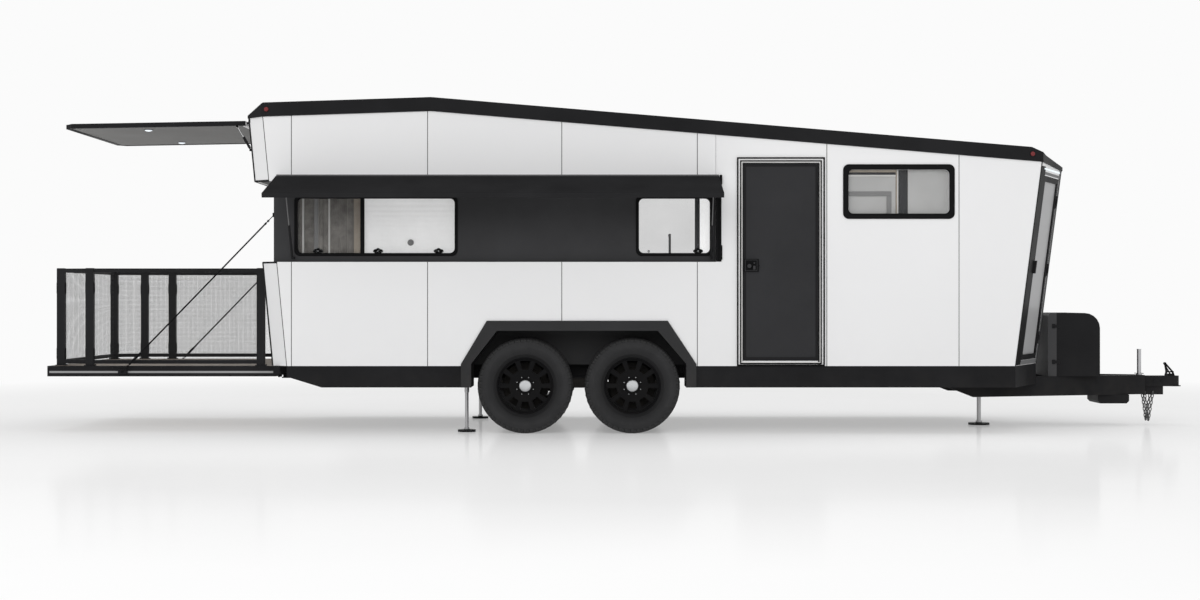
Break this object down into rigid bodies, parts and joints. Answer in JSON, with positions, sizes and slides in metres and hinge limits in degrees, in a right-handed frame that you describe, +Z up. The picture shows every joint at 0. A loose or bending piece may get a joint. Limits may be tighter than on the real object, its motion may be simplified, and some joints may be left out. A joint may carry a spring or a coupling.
{
  "type": "travel trailer",
  "caption": "Large towed living trailer with a recessed window band, side awning, open rear hatch, fold-down guarded deck, tandem wheels and a ball coupler.",
  "frame": {"origin": "centre of the coupler's ball socket", "axes": "+X forward to the hitch, +Z up, the side with the entry door looks along -Y"},
  "size_m": [11.01, 3.3771, 3.133],
  "materials": {
    "wall_panel": "satin",
    "black_trim": "satin",
    "dark_panel": "matte",
    "window_glass": "tinted",
    "dark_metal": "satin",
    "frosted_panel": "frosted",
    "light_metal": "brushed",
    "bright_steel": "bright",
    "grey_lining": "matte",
    "chassis_paint": "satin",
    "floor_board": "sealed",
    "spring_steel": "dark",
    "box_trim": "satin",
    "chain_steel": "zinc",
    "deck_wood": "oiled",
    "guard_paint": "satin",
    "mesh_metal": "wire mesh",
    "light_lens": "clear",
    "red_lens": "clear",
    "furniture": "matte",
    "tyre_rubber": "matte",
    "rim_black": "satin"
  },
  "bodies": {
    "trailer": {"side_wall_near": "wall_panel", "side_wall_far": "wall_panel", "front_wall": "wall_panel", "rear_wall": "wall_panel", "roof_cap": "black_trim", "band_walls": "dark_panel", "window_frames": "black_trim", "window_glass": "window_glass", "wheel_arches": "black_trim", "rear_door_frame": "black_trim", "entry_surround": "black_trim", "hinge_rails": "light_metal", "strut_brackets": "dark_metal", "chassis_frame": "chassis_paint", "skirts": "chassis_paint", "floor_panel": "floor_board", "axles": "chassis_paint", "leaf_springs": "spring_steel", "tongue_frame": "chassis_paint", "coupler": "chassis_paint", "tongue_jack": "bright_steel", "stands": "bright_steel", "tongue_box_rear": "box_trim", "tongue_box_cover": "black_trim", "under_tongue_box": "black_trim", "safety_chains": "chain_steel", "deck_frame": "chassis_paint", "deck_boards": "deck_wood", "guard_frame": "guard_paint", "guard_mesh": "mesh_metal", "stay_cables": "bright_steel", "light_strips": "light_lens", "marker_lights": "red_lens", "cabin_furniture": "furniture", "galley_tap": "bright_steel"},
    "entry_door": {"entry_door_leaf": "black_trim", "entry_door_panel": "dark_panel", "entry_door_lock": "dark_metal"},
    "near_corner_door": {"corner_door_near": "black_trim", "corner_glass_near": "frosted_panel"},
    "far_corner_door": {"corner_door_far": "black_trim", "corner_glass_far": "frosted_panel"},
    "rear_slider": {"rear_slider_sash": "black_trim", "rear_slider_glass": "window_glass"},
    "side_awning": {"awning_panel": "black_trim"},
    "awning_cylinders": {"awning_cylinders": "dark_metal"},
    "awning_rods": {"awning_rods": "bright_steel"},
    "rear_hatch": {"hatch_panel": "wall_panel", "hatch_lining": "grey_lining"},
    "hatch_cylinders": {"hatch_cylinders": "dark_metal"},
    "hatch_rods": {"hatch_rods": "bright_steel"},
    "wheel_rear_near": {"tyre_rear_near": "tyre_rubber", "rim_rear_near": "rim_black"},
    "wheel_rear_far": {"tyre_rear_far": "tyre_rubber", "rim_rear_far": "rim_black"},
    "wheel_front_near": {"tyre_front_near": "tyre_rubber", "rim_front_near": "rim_black"},
    "wheel_front_far": {"tyre_front_far": "tyre_rubber", "rim_front_far": "rim_black"}
  },
  "joints": [
    {"name": "wheel_rear_near_spin", "type": "hinge", "parent": "trailer", "child": "wheel_rear_near", "pos_m": [-6.434, -1.11, 0.0045], "axis": [0, 1, 0], "continuous": true},
    {"name": "wheel_rear_far_spin", "type": "hinge", "parent": "trailer", "child": "wheel_rear_far", "pos_m": [-6.434, 1.11, 0.0045], "axis": [0, 1, 0], "continuous": true},
    {"name": "wheel_front_near_spin", "type": "hinge", "parent": "trailer", "child": "wheel_front_near", "pos_m": [-5.433, -1.11, 0.0045], "axis": [0, 1, 0], "continuous": true},
    {"name": "wheel_front_far_spin", "type": "hinge", "parent": "trailer", "child": "wheel_front_far", "pos_m": [-5.433, 1.11, 0.0045], "axis": [0, 1, 0], "continuous": true},
    {"name": "entry_door_hinge", "type": "hinge", "parent": "trailer", "child": "entry_door", "pos_m": [-3.6985, -1.299, 1.14], "axis": [0, 0, 1], "range_deg": [0, 110]},
    {"name": "corner_door_near_hinge", "type": "hinge", "parent": "trailer", "child": "near_corner_door", "pos_m": [-1.50539, -0.54925, 0.245], "axis": [0.13, 0, 0.9915], "range_deg": [0, 100]},
    {"name": "corner_door_far_hinge", "type": "hinge", "parent": "trailer", "child": "far_corner_door", "pos_m": [-1.50539, 0.54925, 0.245], "axis": [-0.13, 0, -0.9915], "range_deg": [0, 100]},
    {"name": "rear_slider_run", "type": "slide", "parent": "trailer", "child": "rear_slider", "axis": [0, 1, 0], "range_m": [0, 0.59]},
    {"name": "side_awning_hinge", "type": "hinge", "parent": "trailer", "child": "side_awning", "pos_m": [-6.6865, -1.325, 1.941], "axis": [1, 0, 0], "range_deg": [0, 74.3]},
    {"name": "awning_strut_pins", "type": "hinge", "parent": "trailer", "child": "awning_cylinders", "pos_m": [-6.6515, -1.26, 1.2], "axis": [-1, 0, 0], "range_deg": [0, 28.75]},
    {"name": "awning_strut_rods", "type": "slide", "parent": "awning_cylinders", "child": "awning_rods", "axis": [0, -0.5185, 0.8551], "range_m": [-0.30938, 0]},
    {"name": "rear_hatch_hinge", "type": "hinge", "parent": "trailer", "child": "rear_hatch", "pos_m": [-9.07, 0, 2.48], "axis": [0, -1, 0], "range_deg": [0, 94.5]},
    {"name": "hatch_strut_pins", "type": "hinge", "parent": "trailer", "child": "hatch_cylinders", "pos_m": [-9.035, 0, 2.225], "axis": [0, 1, 0], "range_deg": [0, 31.58]},
    {"name": "hatch_strut_rods", "type": "slide", "parent": "hatch_cylinders", "child": "hatch_rods", "axis": [-0.4982, 0, 0.867], "range_m": [-0.10077, 0]}
  ],
  "couplings": [
    {"joint": "awning_strut_pins", "follows": "side_awning_hinge", "ratio": 0.37353},
    {"joint": "awning_strut_rods", "follows": "side_awning_hinge", "m_per_rad": -0.23549},
    {"joint": "hatch_strut_pins", "follows": "rear_hatch_hinge", "ratio": 0.32358},
    {"joint": "hatch_strut_rods", "follows": "rear_hatch_hinge", "m_per_rad": -0.058673}
  ]
}
